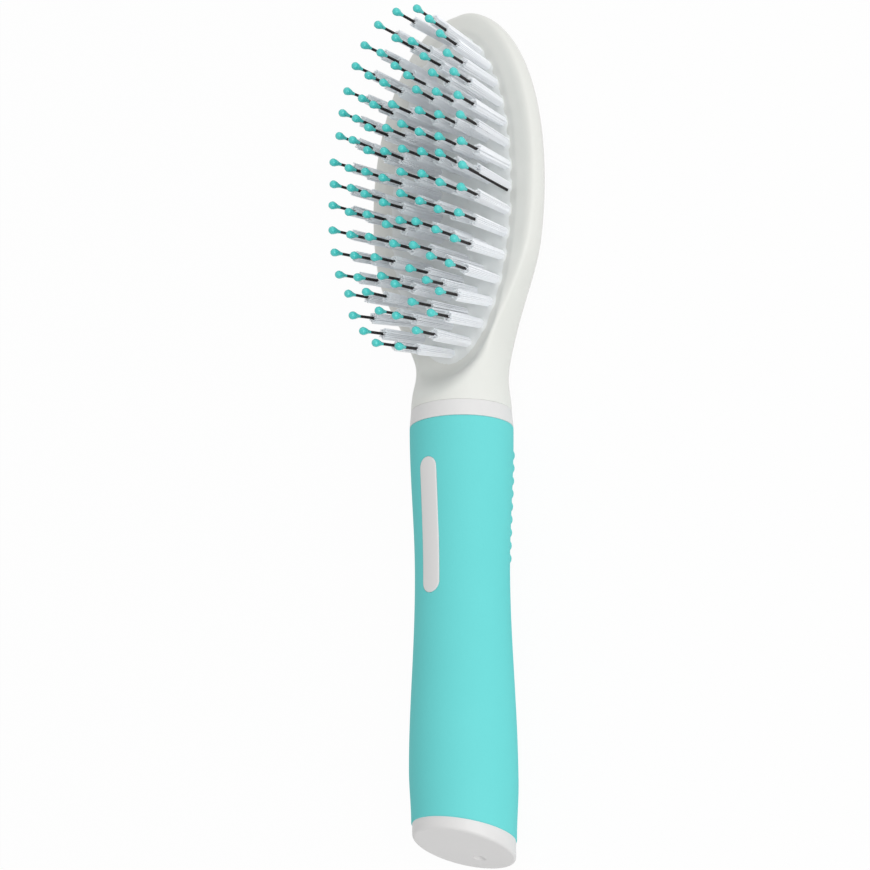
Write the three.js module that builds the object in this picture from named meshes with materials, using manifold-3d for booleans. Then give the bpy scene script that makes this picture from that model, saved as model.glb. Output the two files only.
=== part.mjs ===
// Pet grooming brush: an oval head set with combined tufts, a soft grip handle and an end cap.
// Millimetres. X runs from the end cap to the tip of the head and Z is the way the bristles point.
// Inside the group, x = 0 is the seam between neck and handle and z = 0 is the handle's axis.

import * as THREE from 'three';
import { mergeGeometries, mergeVertices } from 'three/addons/utils/BufferGeometryUtils.js';
import Module from 'manifold-3d';

const wasm = await Module();
wasm.setup();

// Fits, facets and the reach of the cutting blocks
const FIT_GAP = 0.3;
const ROUND_SIDES = 32;
const OVAL_SIDES = 36;
const PLATE_SIDES = 20;
const SECTION_SIDES = 32;
const HANDLE_STEPS = 8;
const DIMPLE_SIDES = 16;
const DISH_STEPS = [0, 25, 48, 70, 90];
const FAR = 60;
const OVERRUN = 1;

// Head and neck: lengths are from the seam
const HEAD_LENGTH = 110.3;
const PADDLE_HALF_LENGTH = 50.5;
const PADDLE_HALF_WIDTH = 28.6;
const SHOULDER_BEHIND_CENTRE = 17.6;
const SEAM_RADIUS = 12.9;
const NECK_RADIUS = 12.2;
const NECK_WAIST_AT = 8.5;
const NECK_FLARE = 0.03;
const NECK_BLEND = 19.6;
const PARTING_RISE = 1.55;
const RIM_HEIGHT = 4.25;
const RIM_SQUARENESS = 4;
const TIP_BOW = 1.3;
const BACK_ROUNDNESS = 1.67;
const BACK_LAND_CUT = 0.6;
const TIP_FRONT_SQUARENESS = 14;
const TIP_BACK_ROUNDNESS = 4.3;
const SHELL_WALL = 2.4;
const SUPPORT_RIBS = 3;
const SUPPORT_RIB_PITCH = 22;
const SUPPORT_RIB_WALL = 1.8;

// Bristle plate: two layers let into the face of the head
const RIM_WIDTH = 5.35;
const RIM_END_WIDTH = 4.65;
const BED_BEHIND_CENTRE = 1.4;
const DISH_RADIUS = 4.5;
const LEDGE_WIDTH = 2;
const BED_CROWN = 5;
const BED_LENGTH_RADIUS = 600;
const BED_WIDTH_RADIUS = 230;
const BED_EDGE_WALL = 1.4;
const ANCHOR_LAYER = 1.8;

// Tufts: rings from the outside in, each with its share of the outer ring's length
const TUFT_RINGS = [
  { tufts: 34, lengthShare: 1 },
  { tufts: 28, lengthShare: 0.83 },
  { tufts: 22, lengthShare: 0.655 },
  { tufts: 12, lengthShare: 0.415 },
];
const TUFT_SIDE_MARGIN = 3.35;
const TUFT_END_MARGIN = 3.8;
const FAN_LENGTH_RADIUS = 390;
const FAN_WIDTH_RADIUS = 150;
const FAN_AHEAD_OF_BED = 9;
const STRAND_SIDES = 3;
const STRANDS_A_TUFT = 3;
const STRAND_RADIUS = 0.55;
const STRAND_LENGTH = 14;
const STRAND_ROOT = 1;
const QUILL_RADIUS = 0.5;
const QUILL_LENGTH = 20.9;
const BEAD_RADIUS = 1.25;
const BEAD_NECK = 1.9;
const BEAD_TIP = 1.4;

// Handle: lengths are from the top edge of the sleeve
const COLLAR_LENGTH = 4.25;
const SLEEVE_LENGTH = 102.35;
const SLEEVE_WALL = 2;
const TOP_RADIUS = 13.25;
const WAIST_RADIUS = 11.93;
const WAIST_AT = 39;
const BELLY_RADIUS = 13.4;
const BELLY_AT = 88;
const END_RADIUS = 12.85;
const BORE_RADIUS = 7.6;
const INLAY_AT = 9.8;
const INLAY_LENGTH = 34.4;
const INLAY_WIDTH = 5.3;
const INLAY_RECESS = 0.2;
const GRIP_RIBS = 9;
const FIRST_RIB_AT = 7.5;
const RIB_PITCH = 3.35;
const RIB_WIDTH = 1.7;
const RIB_HEIGHT = 0.4;
const RIB_HALF_ANGLE = 52;

// Snap joints and end cap
const SPIGOT_LENGTH = 18;
const SPIGOT_WALL = 2.5;
const SPIGOT_BORE_PAST_SEAM = 4;
const SNAP_FROM_FACE = 11;
const SNAP_HEIGHT = 0.4;
const SNAP_WIDTH = 2;
const CAP_RIM = 3.3;
const CAP_SLANT = 17;
const CAP_PLUG_LENGTH = 16;
const CAP_FLOOR = 3;
const DIMPLE_RADIUS = 1.5;
const DIMPLE_DEPTH = 0.8;
const DIMPLE_FROM_AXIS = 5.8;

// Places worked out from the sizes
const paddleCentre = HEAD_LENGTH - PADDLE_HALF_LENGTH;
const shoulderAt = paddleCentre - SHOULDER_BEHIND_CENTRE;
const bedCentre = paddleCentre - BED_BEHIND_CENTRE;
const plateHalfLength = PADDLE_HALF_LENGTH - RIM_END_WIDTH + BED_BEHIND_CENTRE;
const plateHalfWidth = PADDLE_HALF_WIDTH - RIM_WIDTH;
const sleeveTop = -COLLAR_LENGTH;
const sleeveEnd = sleeveTop - SLEEVE_LENGTH;
const capFace = sleeveEnd - FIT_GAP - CAP_RIM;
const slantSlope = Math.tan(THREE.MathUtils.degToRad(CAP_SLANT));
const axisHeight = Math.max(BELLY_RADIUS, gripRadius(FIRST_RIB_AT) + RIB_HEIGHT);
const backDepth = axisHeight + PARTING_RISE + BACK_LAND_CUT;
const bedEdgeDrop = plateHalfLength ** 2 / (2 * BED_LENGTH_RADIUS);
const plateUnderside = BED_CROWN - bedEdgeDrop - BED_EDGE_WALL;
const anchorTop = plateUnderside - FIT_GAP;
const anchorUnderside = anchorTop - ANCHOR_LAYER;
const ledgeHeight = anchorUnderside - FIT_GAP;

// Curves of the outline

function ease(share) {
  return (1 - Math.cos(Math.PI * THREE.MathUtils.clamp(share, 0, 1))) / 2;
}

function gripRadius(down) {
  if (down < WAIST_AT) {
    return THREE.MathUtils.lerp(TOP_RADIUS, WAIST_RADIUS, ease(down / WAIST_AT));
  }
  if (down < BELLY_AT) {
    return THREE.MathUtils.lerp(WAIST_RADIUS, BELLY_RADIUS, ease((down - WAIST_AT) / (BELLY_AT - WAIST_AT)));
  }
  return THREE.MathUtils.lerp(BELLY_RADIUS, END_RADIUS, ease((down - BELLY_AT) / (SLEEVE_LENGTH - BELLY_AT)));
}

function paddleHalfWidth(x) {
  const share = THREE.MathUtils.clamp((x - paddleCentre) / PADDLE_HALF_LENGTH, -1, 1);
  return PADDLE_HALF_WIDTH * Math.sqrt(1 - share * share);
}

function headHalfWidth(x) {
  if (x >= shoulderAt) return paddleHalfWidth(x);
  if (x <= NECK_WAIST_AT) return THREE.MathUtils.lerp(SEAM_RADIUS, NECK_RADIUS, ease(x / NECK_WAIST_AT));
  const run = shoulderAt - NECK_WAIST_AT;
  const share = (x - NECK_WAIST_AT) / run;
  const shoulderShare = SHOULDER_BEHIND_CENTRE / PADDLE_HALF_LENGTH;
  const shoulderWidth = paddleHalfWidth(shoulderAt);
  const shoulderSlope = PADDLE_HALF_WIDTH ** 2 * shoulderShare / (PADDLE_HALF_LENGTH * shoulderWidth);
  const rise = share * share * (3 - 2 * share);
  const startSlope = share * (1 - share) ** 2;
  const endSlope = share * share * (share - 1);
  return THREE.MathUtils.lerp(NECK_RADIUS, shoulderWidth, rise)
    + run * (NECK_FLARE * startSlope + shoulderSlope * endSlope);
}

function bedHeight(along, across) {
  return BED_CROWN - along ** 2 / (2 * BED_LENGTH_RADIUS) - across ** 2 / (2 * BED_WIDTH_RADIUS);
}

// Geometry helpers

function turned(profile, sides = ROUND_SIDES) {
  const outline = profile.map(([x, radius]) => new THREE.Vector2(radius, x));
  return new THREE.LatheGeometry(outline, sides).rotateZ(-Math.PI / 2);
}

// A body through rings of points, closed at each end by a fan about the ring's middle
function loft(rings) {
  const sides = rings[0].length;
  const middles = [rings[0], rings.at(-1)].map((ring) => ring
    .reduce((sum, point) => sum.add(point), new THREE.Vector3()).divideScalar(sides));
  const points = [...rings.flat(), ...middles];
  const [first, last] = [points.length - 2, points.length - 1];
  const lastRing = (rings.length - 1) * sides;
  const index = [];
  for (let side = 0; side < sides; side += 1) {
    const next = (side + 1) % sides;
    for (let ring = 0; ring < lastRing; ring += sides) {
      index.push(ring + side, ring + next, ring + sides + next);
      index.push(ring + side, ring + sides + next, ring + sides + side);
    }
    index.push(first, next, side);
    index.push(last, lastRing + side, lastRing + next);
  }
  const geometry = new THREE.BufferGeometry().setFromPoints(points);
  geometry.setIndex(index);
  return geometry;
}

function ovalRing(halfLength, halfWidth, heightAt, sides = OVAL_SIDES) {
  return Array.from({ length: sides }, (_, side) => {
    const angle = 2 * Math.PI * side / sides;
    const [along, across] = [halfLength * Math.cos(angle), halfWidth * Math.sin(angle)];
    return new THREE.Vector3(bedCentre + along, across, heightAt(along, across));
  });
}

function ovalBlock(halfLength, halfWidth, bottom, top) {
  return solid(loft([bottom, top].map((z) => ovalRing(halfLength, halfWidth, () => z))));
}

// Solids: the merged mesh, with flat triangles left out and its faces turned outwards
function solid(geometry) {
  const plain = new THREE.BufferGeometry();
  plain.setAttribute('position', geometry.getAttribute('position'));
  plain.setIndex(geometry.getIndex());
  const merged = mergeVertices(plain);
  const position = merged.getAttribute('position');
  const corners = merged.getIndex().array;
  const [a, b, c] = [new THREE.Vector3(), new THREE.Vector3(), new THREE.Vector3()];
  const triangles = [];
  let volume = 0;
  for (let start = 0; start < corners.length; start += 3) {
    const [i, j, k] = corners.slice(start, start + 3);
    if (i === j || j === k || k === i) continue;
    triangles.push([i, j, k]);
    a.fromBufferAttribute(position, i);
    b.fromBufferAttribute(position, j);
    c.fromBufferAttribute(position, k);
    volume += a.dot(b.cross(c));
  }
  if (volume < 0) triangles.forEach((triangle) => triangle.reverse());
  return new wasm.Manifold(new wasm.Mesh({
    numProp: 3,
    vertProperties: new Float32Array(position.array),
    triVerts: new Uint32Array(triangles.flat()),
  }));
}

// Everything below a plane across the handle, which slants so that the back of the handle is longer
function belowSlant(x) {
  const block = new THREE.BoxGeometry(2 * FAR, 2 * FAR, 2 * FAR);
  block.translate(-FAR, 0, 0).rotateY(THREE.MathUtils.degToRad(CAP_SLANT)).translate(x, 0, 0);
  return solid(block);
}

function stadium(length, width, top) {
  const shape = new THREE.Shape();
  const [radius, straight] = [width / 2, length - width];
  shape.absarc(straight / 2, 0, radius, -Math.PI / 2, Math.PI / 2);
  shape.absarc(-straight / 2, 0, radius, Math.PI / 2, 3 * Math.PI / 2);
  const prism = new THREE.ExtrudeGeometry(shape, { depth: top, bevelEnabled: false, curveSegments: 6 });
  return prism.translate(sleeveTop - INLAY_AT - INLAY_LENGTH / 2, 0, 0);
}

function stations(from, to, count) {
  return Array.from({ length: count + 1 }, (_, step) => THREE.MathUtils.lerp(from, to, step / count));
}

// The annular snap bead and its groove share one ring, a fit gap apart
function snapRing(middle, gap) {
  const outer = BORE_RADIUS + SNAP_HEIGHT + gap;
  const inner = BORE_RADIUS - SPIGOT_WALL / 2;
  const half = SNAP_WIDTH / 2 + gap;
  return solid(turned([
    [middle - half - SNAP_HEIGHT, inner], [middle - half, outer], [middle + half, outer],
    [middle + half + SNAP_HEIGHT, inner], [middle - half - SNAP_HEIGHT, inner],
  ]));
}

// Head shell: neck and paddle in one moulding, hollow behind the bristle plate

function headSection(x, inset) {
  const width = headHalfWidth(x);
  const neck = headHalfWidth(Math.min(x, NECK_WAIST_AT));
  const paddle = ease((x - NECK_WAIST_AT) / NECK_BLEND);
  const fromCentre = (x - paddleCentre) / PADDLE_HALF_LENGTH;
  const past = Math.max(0, fromCentre);
  const sag = TIP_BOW * fromCentre ** 2 * paddle;
  const { lerp } = THREE.MathUtils;
  const halfWidth = Math.max(width - inset, 0);
  const parting = PARTING_RISE * paddle - sag;
  const frontFall = Math.sqrt(1 - past ** TIP_FRONT_SQUARENESS);
  const backRise = Math.sqrt(1 - past ** TIP_BACK_ROUNDNESS);
  const upper = Math.max(lerp(neck, RIM_HEIGHT, paddle) * frontFall - inset, 0);
  const lower = Math.max(lerp(neck, backDepth - sag, paddle) * backRise - inset, 0);
  const upperPower = 2 / lerp(2, RIM_SQUARENESS, paddle);
  const lowerPower = 2 / lerp(2, BACK_ROUNDNESS, paddle);
  return Array.from({ length: SECTION_SIDES }, (_, side) => {
    const angle = 2 * Math.PI * side / SECTION_SIDES;
    const [cos, sin] = [Math.cos(angle), Math.sin(angle)];
    const power = sin >= 0 ? upperPower : lowerPower;
    const across = Math.sign(cos) * Math.abs(cos) ** power * halfWidth;
    const up = Math.sign(sin) * Math.abs(sin) ** power * (sin >= 0 ? upper : lower);
    return new THREE.Vector3(x, across, parting + up);
  });
}

function headBody(inset) {
  const shoulderAngle = Math.asin(-SHOULDER_BEHIND_CENTRE / PADDLE_HALF_LENGTH);
  const places = [
    ...stations(0, NECK_WAIST_AT, 2),
    ...stations(NECK_WAIST_AT, shoulderAt, 6).slice(1),
    ...stations(shoulderAngle, Math.PI / 2, 11).slice(1)
      .map((angle) => paddleCentre + PADDLE_HALF_LENGTH * Math.sin(angle)),
  ];
  return solid(loft(places.map((x) => headSection(x, inset))));
}

// The dish round the plate: a hollow fillet that grows steeper away from the plate
function dish() {
  const rings = DISH_STEPS.map((degrees) => {
    const angle = THREE.MathUtils.degToRad(degrees);
    const out = FIT_GAP + DISH_RADIUS * Math.sin(angle);
    const up = DISH_RADIUS * (1 - Math.cos(angle));
    const edge = (along, across) => bedHeight(along, across) + up;
    return ovalRing(plateHalfLength + out, plateHalfWidth + out, edge);
  });
  const [length, width] = [plateHalfLength, plateHalfWidth].map((half) => half + FIT_GAP + DISH_RADIUS);
  return solid(loft([...rings, ovalRing(length, width, () => FAR)]));
}

function headShell() {
  const pocket = ovalBlock(plateHalfLength + FIT_GAP, plateHalfWidth + FIT_GAP, ledgeHeight, FAR);
  let cavity = headBody(SHELL_WALL).intersect(
    ovalBlock(plateHalfLength - LEDGE_WIDTH, plateHalfWidth - LEDGE_WIDTH, -FAR, ledgeHeight + FIT_GAP),
  );
  for (let rib = 0; rib < SUPPORT_RIBS; rib += 1) {
    const x = bedCentre + (rib - (SUPPORT_RIBS - 1) / 2) * SUPPORT_RIB_PITCH;
    const wall = new THREE.BoxGeometry(SUPPORT_RIB_WALL, 2 * FAR, 2 * FAR).translate(x, 0, 0);
    cavity = cavity.subtract(solid(wall));
  }
  const radius = BORE_RADIUS - FIT_GAP;
  const spigot = solid(turned([
    [-SPIGOT_LENGTH, 0], [-SPIGOT_LENGTH, radius], [FIT_GAP, radius], [FIT_GAP, 0],
  ]));
  const hollow = solid(turned([
    [-SPIGOT_LENGTH - FIT_GAP, 0], [-SPIGOT_LENGTH - FIT_GAP, radius - SPIGOT_WALL],
    [SPIGOT_BORE_PAST_SEAM, radius - SPIGOT_WALL], [SPIGOT_BORE_PAST_SEAM, 0],
  ]));
  const underTable = new THREE.BoxGeometry(4 * FAR, 2 * FAR, FAR).translate(FAR, 0, -axisHeight - FAR / 2);
  return headBody(0).subtract(dish()).subtract(pocket).subtract(cavity)
    .add(spigot).add(snapRing(-SNAP_FROM_FACE, 0)).subtract(hollow).subtract(solid(underTable));
}

// Tufts: each seat is a frame on the bed with its Z axis along the tuft

function tuftSeats() {
  const outerLength = plateHalfLength - TUFT_END_MARGIN;
  const outerWidth = plateHalfWidth - TUFT_SIDE_MARGIN;
  const columns = 2 * TUFT_RINGS.length - 1;
  return TUFT_RINGS.flatMap(({ tufts, lengthShare }, ring) => {
    const [ringLength, ringWidth] = [outerLength * lengthShare, outerWidth * (1 - 2 * ring / columns)];
    const oval = new THREE.EllipseCurve(0, 0, ringLength, ringWidth);
    return oval.getSpacedPoints(tufts).slice(1).map(({ x: along, y: across }) => {
      const slopes = [(along - FAN_AHEAD_OF_BED) / FAN_LENGTH_RADIUS, across / FAN_WIDTH_RADIUS];
      const aim = new THREE.Vector3(...slopes, 1).normalize();
      const lean = new THREE.Quaternion().setFromUnitVectors(new THREE.Vector3(0, 0, 1), aim);
      const foot = new THREE.Vector3(bedCentre + along, across, bedHeight(along, across));
      return { foot, frame: new THREE.Matrix4().compose(foot, lean, new THREE.Vector3(1, 1, 1)) };
    });
  });
}

function triangle(radius) {
  const corners = Array.from({ length: STRAND_SIDES }, (_, side) => {
    const angle = 2 * Math.PI * side / STRAND_SIDES;
    return new THREE.Vector2(radius * Math.cos(angle), radius * Math.sin(angle));
  });
  return new THREE.Shape(corners);
}

function strand(radius, bottom, top) {
  const prism = new THREE.ExtrudeGeometry(triangle(radius), { depth: top - bottom, bevelEnabled: false });
  return prism.translate(0, 0, bottom);
}

// A layer of the plate: its flat underside, its edge and the slopes that rise from the edge to the crown
function plateLayer(bottom, heightAt) {
  const [under, edge] = [() => bottom, heightAt]
    .map((at) => ovalRing(plateHalfLength, plateHalfWidth, at, PLATE_SIDES));
  const crown = new THREE.Vector3(bedCentre, 0, heightAt(0, 0));
  return solid(loft([under, edge, edge.map(() => crown)]));
}

// The quill's clearance is a triangle whose flats keep the fit gap to the quill's own flats
const quillHoleRadius = QUILL_RADIUS + 2 * FIT_GAP;
const strandOffset = quillHoleRadius / 2 + FIT_GAP / 4 + STRAND_RADIUS / 2;

function filamentPlate(seats) {
  const strands = seats.flatMap(({ frame }) => Array.from({ length: STRANDS_A_TUFT }, (_, turn) => {
    const angle = 2 * Math.PI * turn / STRANDS_A_TUFT;
    return strand(STRAND_RADIUS, -STRAND_ROOT, STRAND_LENGTH)
      .translate(strandOffset, 0, 0).rotateZ(angle).applyMatrix4(frame);
  }));
  const holes = seats.map(({ foot, frame }) => strand(
    quillHoleRadius, plateUnderside - foot.z - OVERRUN, OVERRUN,
  ).rotateZ(Math.PI).applyMatrix4(frame));
  return plateLayer(plateUnderside, bedHeight)
    .add(solid(mergeGeometries(strands))).subtract(solid(mergeGeometries(holes)));
}

function quillPlate(seats) {
  const quills = seats.map(({ foot, frame }) => {
    const root = anchorTop - foot.z - STRAND_ROOT;
    const profile = [
      [root, 0], [root, QUILL_RADIUS], [QUILL_LENGTH - BEAD_NECK, QUILL_RADIUS],
      [QUILL_LENGTH, BEAD_RADIUS], [QUILL_LENGTH + BEAD_TIP, 0],
    ].map(([up, radius]) => new THREE.Vector2(radius, up));
    return new THREE.LatheGeometry(profile, STRAND_SIDES)
      .rotateX(Math.PI / 2).rotateZ(-Math.PI / 2).rotateZ(Math.PI).applyMatrix4(frame);
  });
  return plateLayer(anchorUnderside, () => anchorTop).add(solid(mergeGeometries(quills)));
}

// Handle core: collar, tube and the raised land that fills the window of the sleeve
function handleCore() {
  const steps = stations(0, SLEEVE_LENGTH + END_RADIUS, HANDLE_STEPS);
  const outside = steps.map((down) => [sleeveTop - down, gripRadius(down) - SLEEVE_WALL - FIT_GAP]);
  const end = outside.at(-1)[0];
  const tube = solid(turned([
    [-FIT_GAP, BORE_RADIUS], [-FIT_GAP, SEAM_RADIUS], [sleeveTop, TOP_RADIUS], ...outside,
    [end, BORE_RADIUS], [-FIT_GAP, BORE_RADIUS],
  ]));
  const landSkin = steps.map((down) => [sleeveTop - down, gripRadius(down) - INLAY_RECESS]);
  const landLimit = solid(turned([[sleeveTop, 0], ...landSkin, [end, 0]]));
  const bore = solid(turned([
    [FIT_GAP, 0], [FIT_GAP, BORE_RADIUS], [end - FIT_GAP, BORE_RADIUS], [end - FIT_GAP, 0],
  ]));
  const land = solid(stadium(INLAY_LENGTH, INLAY_WIDTH, FAR)).intersect(landLimit).subtract(bore);
  const capSnap = sleeveEnd + SNAP_FROM_FACE;
  return tube.add(land).subtract(snapRing(-SNAP_FROM_FACE, FIT_GAP)).subtract(snapRing(capSnap, FIT_GAP))
    .subtract(belowSlant(sleeveEnd));
}

// Grip sleeve: soft skin with the window at the front and cross ribs at the back
function gripSleeve() {
  const steps = stations(FIT_GAP, SLEEVE_LENGTH + END_RADIUS, HANDLE_STEPS);
  const outside = steps.map((down) => [sleeveTop - down, gripRadius(down)]);
  const inside = outside.map(([x, radius]) => [x, radius - SLEEVE_WALL]).reverse();
  const skin = solid(turned([...outside, ...inside, outside[0]]));
  const rings = Array.from({ length: GRIP_RIBS }, (_, rib) => {
    const down = FIRST_RIB_AT + rib * RIB_PITCH;
    const [x, radius] = [sleeveTop - down, gripRadius(down)];
    const [root, crest] = [radius - SLEEVE_WALL / 2, radius + RIB_HEIGHT];
    return turned([
      [x + RIB_WIDTH, root], [x + RIB_WIDTH / 4, crest], [x - RIB_WIDTH / 4, crest], [x - RIB_WIDTH, root],
      [x + RIB_WIDTH, root],
    ]);
  });
  const half = THREE.MathUtils.degToRad(RIB_HALF_ANGLE);
  const wedge = new THREE.Shape([
    new THREE.Vector2(0, 0),
    new THREE.Vector2(-FAR * Math.sin(half), -FAR * Math.cos(half)),
    new THREE.Vector2(FAR * Math.sin(half), -FAR * Math.cos(half)),
  ]);
  const back = new THREE.ExtrudeGeometry(wedge, { depth: SLEEVE_LENGTH, bevelEnabled: false });
  back.rotateX(Math.PI / 2).rotateZ(-Math.PI / 2).translate(sleeveTop, 0, 0);
  const ribs = solid(mergeGeometries(rings)).intersect(solid(back));
  const window = solid(stadium(INLAY_LENGTH + 2 * FIT_GAP, INLAY_WIDTH + 2 * FIT_GAP, FAR));
  return skin.add(ribs).subtract(window).subtract(belowSlant(sleeveEnd));
}

// End cap: a rim flush with the sleeve, a slanted flat face and a plug that snaps into the core
function endCap() {
  const [reach, top] = [capFace - 2 * END_RADIUS, sleeveEnd + 2 * END_RADIUS];
  const plugTop = sleeveEnd + CAP_PLUG_LENGTH;
  const plugRadius = BORE_RADIUS - FIT_GAP;
  const rim = solid(turned([[reach, 0], [reach, END_RADIUS], [top, END_RADIUS], [top, 0]]))
    .intersect(belowSlant(sleeveEnd - FIT_GAP));
  const plug = solid(turned([[reach, 0], [reach, plugRadius], [plugTop, plugRadius], [plugTop, 0]]));
  const hollowRadius = plugRadius - SPIGOT_WALL;
  const hollow = solid(turned([
    [sleeveEnd + CAP_FLOOR, 0], [sleeveEnd + CAP_FLOOR, hollowRadius],
    [plugTop + FIT_GAP, hollowRadius], [plugTop + FIT_GAP, 0],
  ]));
  const dimple = turned([
    [-DIMPLE_DEPTH, 0], [-DIMPLE_DEPTH, DIMPLE_RADIUS], [DIMPLE_DEPTH, DIMPLE_RADIUS], [DIMPLE_DEPTH, 0],
  ], DIMPLE_SIDES).translate(0, 0, -DIMPLE_FROM_AXIS);
  dimple.rotateY(THREE.MathUtils.degToRad(CAP_SLANT)).translate(capFace, 0, 0);
  return rim.add(plug).add(snapRing(sleeveEnd + SNAP_FROM_FACE, 0)).subtract(hollow)
    .subtract(belowSlant(capFace)).subtract(solid(dimple));
}

// The assembly, moved so that the brush lies on its back with its middle over the origin
const brush = new THREE.Group();
const farEnd = capFace - END_RADIUS * slantSlope;
brush.position.set(-(HEAD_LENGTH + farEnd) / 2, 0, axisHeight);

function addPiece(name, body, colour, roughness) {
  const { vertProperties, triVerts } = body.getMesh();
  const geometry = new THREE.BufferGeometry();
  geometry.setAttribute('position', new THREE.BufferAttribute(vertProperties, 3));
  geometry.setIndex(new THREE.BufferAttribute(triVerts, 1));
  geometry.computeVertexNormals();
  const material = new THREE.MeshStandardMaterial({ color: colour, roughness, metalness: 0 });
  const mesh = new THREE.Mesh(geometry, material);
  mesh.name = name;
  brush.add(mesh);
}

const seats = tuftSeats();
addPiece('head_shell', headShell(), 0xe8e9e4, 0.45);
addPiece('filament_plate', filamentPlate(seats), 0xe6e9f0, 0.5);
addPiece('quill_plate', quillPlate(seats), 0x232020, 0.4);
addPiece('handle_core', handleCore(), 0xe4e2e2, 0.45);
addPiece('grip_sleeve', gripSleeve(), 0x5fd0cd, 0.6);
addPiece('end_cap', endCap(), 0xe4e2e2, 0.45);

export default brush;
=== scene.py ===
"""Looks of a pet grooming brush that lies on its back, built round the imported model.

A white head carries combined tufts: white filaments round one longer quill with a bead. A handle with a
soft grip and a slanted end cap follows. Sizes are millimetres in the brush's own axes: x runs from the seam
between neck and handle towards the tip of the head, y runs across, and z runs from the axis of the handle
the way the bristles point. Each mesh is moved into the frame, in metres, when it is made a piece.
"""

import logging
import math
import random
from collections.abc import Callable, Iterable
from dataclasses import dataclass, field
from enum import Enum

import bmesh
import bpy
from mathutils import Matrix, Vector
from mathutils.kdtree import KDTree


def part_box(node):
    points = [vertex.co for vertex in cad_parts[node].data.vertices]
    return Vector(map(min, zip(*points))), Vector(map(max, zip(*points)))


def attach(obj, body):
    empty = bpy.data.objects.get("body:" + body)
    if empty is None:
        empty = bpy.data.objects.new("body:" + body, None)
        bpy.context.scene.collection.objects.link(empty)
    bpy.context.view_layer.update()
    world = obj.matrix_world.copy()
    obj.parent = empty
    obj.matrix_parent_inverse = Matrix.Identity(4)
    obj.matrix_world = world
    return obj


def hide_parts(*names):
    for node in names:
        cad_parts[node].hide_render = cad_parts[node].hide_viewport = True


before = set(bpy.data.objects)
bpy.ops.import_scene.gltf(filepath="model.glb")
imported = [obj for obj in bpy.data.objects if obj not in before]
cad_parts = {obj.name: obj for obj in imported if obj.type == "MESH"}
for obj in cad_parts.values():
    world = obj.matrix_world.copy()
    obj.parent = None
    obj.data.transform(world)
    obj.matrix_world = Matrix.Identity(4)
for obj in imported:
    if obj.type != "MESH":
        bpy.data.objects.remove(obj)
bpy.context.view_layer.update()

LOG = logging.getLogger("brush")
MM = 0.001
BODY = "root"
TOLERANCE = 1e-4
SHARP_DEGREES = 38.0
HALF_TURN = 180.0
EDGE_STEPS = 5
SRGB_TOE = 0.04045
SRGB_TOE_SLOPE = 12.92
SRGB_OFFSET = 0.055
SRGB_POWER = 2.4


class Slot(Enum):
    """Material slots of the record."""

    WHITE_ABS = "white_abs"
    WHITE_NYLON = "white_nylon"
    BLACK_NYLON = "black_nylon"
    TEAL_BEAD = "teal_bead"
    SOFT_GRIP = "soft_grip"


class Flank(Enum):
    """The two halves of a cross-section of the head."""

    FRONT = "front"
    BACK = "back"


# Curves


def ease(share: float) -> float:
    """Runs from 0 to 1 with a level start and end, and holds outside that range."""
    return (1 - math.cos(math.pi * min(max(share, 0.0), 1.0))) / 2


def lerp(start: float, end: float, share: float) -> float:
    """The value that lies the given share of the way from start to end."""
    return start + (end - start) * share


def soft_min(first: float, second: float, reach: float) -> float:
    """The lower of two heights, with the crease between them rounded.

    Args:
        first: One height.
        second: The other height.
        reach: Difference in height below which the crease is rounded.

    Returns:
        The rounded lower height.
    """
    near = max(reach - abs(first - second), 0.0) / reach
    return min(first, second) - near * near * reach / 4


def spaced(start: float, stop: float, pitch: float) -> list[float]:
    """Evenly spaced values that leave out the start and take in the stop.

    Args:
        start: Value to begin after.
        stop: Last value.
        pitch: Largest step between two values.

    Returns:
        The values in order.
    """
    count = max(math.ceil(abs(stop - start) / pitch - TOLERANCE), 1)
    return [lerp(start, stop, (step + 1) / count) for step in range(count)]


def quarter_round(radius: float) -> list[tuple[float, float]]:
    """Points of a rounded edge.

    Args:
        radius: Radius of the edge.

    Returns:
        Pairs of distance from the end and inset from the side, from the end face to the side.
    """
    angles = [math.pi / 2 * step / EDGE_STEPS for step in range(EDGE_STEPS + 1)]
    return [(radius * (1 - math.cos(angle)), radius * (1 - math.sin(angle))) for angle in angles]


def edge_drop(radius: float, past: float) -> float:
    """Fall of a rounded edge at a distance past the start of its rounding."""
    return radius - math.sqrt(max(radius ** 2 - max(past, 0.0) ** 2, 0.0))


# Meshes


def sheet(columns: int, rows: int, half_size: float = 1.0) -> bmesh.types.BMesh:
    """A flat square grid round the origin.

    Args:
        columns: Number of faces along x.
        rows: Number of faces along y.
        half_size: Distance from the middle to each side.

    Returns:
        The grid.
    """
    mesh = bmesh.new()
    bmesh.ops.create_grid(mesh, x_segments=columns, y_segments=rows, size=half_size)
    return mesh


def tube_skin(rows: int, columns: int, place: Callable[[int, int], Vector]) -> bmesh.types.BMesh:
    """A sheet rolled to a tube: a grid whose first and last columns are welded.

    Args:
        rows: Number of rings along the tube.
        columns: Number of points on each ring.
        place: Gives the point for a row and a column.

    Returns:
        The tube, with its ends open.
    """
    mesh = sheet(rows - 1, columns)
    for vert in mesh.verts:
        row = round((vert.co.x + 1) / 2 * (rows - 1))
        column = round((vert.co.y + 1) / 2 * columns)
        vert.co = place(row, column % columns)
    bmesh.ops.remove_doubles(mesh, verts=mesh.verts, dist=TOLERANCE)
    return mesh


def open_rims(mesh: bmesh.types.BMesh) -> list[bmesh.types.BMEdge]:
    """Edges of a mesh that have a face on one side only."""
    return [edge for edge in mesh.edges if edge.is_boundary]


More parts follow.
